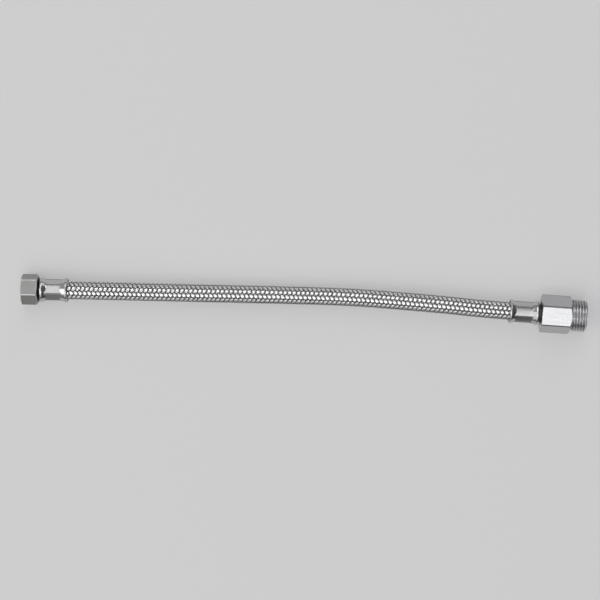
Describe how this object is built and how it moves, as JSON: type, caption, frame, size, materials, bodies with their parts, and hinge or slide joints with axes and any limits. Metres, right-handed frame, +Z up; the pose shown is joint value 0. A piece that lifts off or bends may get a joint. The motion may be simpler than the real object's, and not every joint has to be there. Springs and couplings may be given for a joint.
{
  "type": "braided flexible hose",
  "caption": "Flexible water hose of rubber in a stainless wire braid, with a loose union nut at one end and a fixed hexagon with a male thread at the other",
  "frame": {"origin": "on the surface that the hose lies on, midway between the ends of its two fittings", "axes": "+X along the hose from the union nut to the male thread, +Z up from the surface it lies on, +Y to the side that it bends away from"},
  "size_m": [0.3706, 0.0396, 0.022],
  "materials": {
    "nut_steel": "polished, turned end faces",
    "fibre": "matt",
    "insert_steel": "turned",
    "ferrule_steel": "bright drawn sheet",
    "fitting_steel": "polished, turned thread",
    "braid_wire": "bright drawn wire",
    "black_rubber": "smooth, matt"
  },
  "bodies": {
    "hose": {"sealing_washer": "fibre", "left_insert": "insert_steel", "left_ferrule": "ferrule_steel", "right_ferrule": "ferrule_steel", "male_fitting": "fitting_steel", "wire_braid": "braid_wire", "inner_hose": "black_rubber"},
    "nut": {"union_nut": "nut_steel"}
  },
  "joints": [
    {"name": "nut_spin", "type": "hinge", "parent": "hose", "child": "nut", "pos_m": [-0.18155, 0.0099, 0.01011], "axis": [-0.9998, 0.0209, 0], "continuous": true}
  ]
}
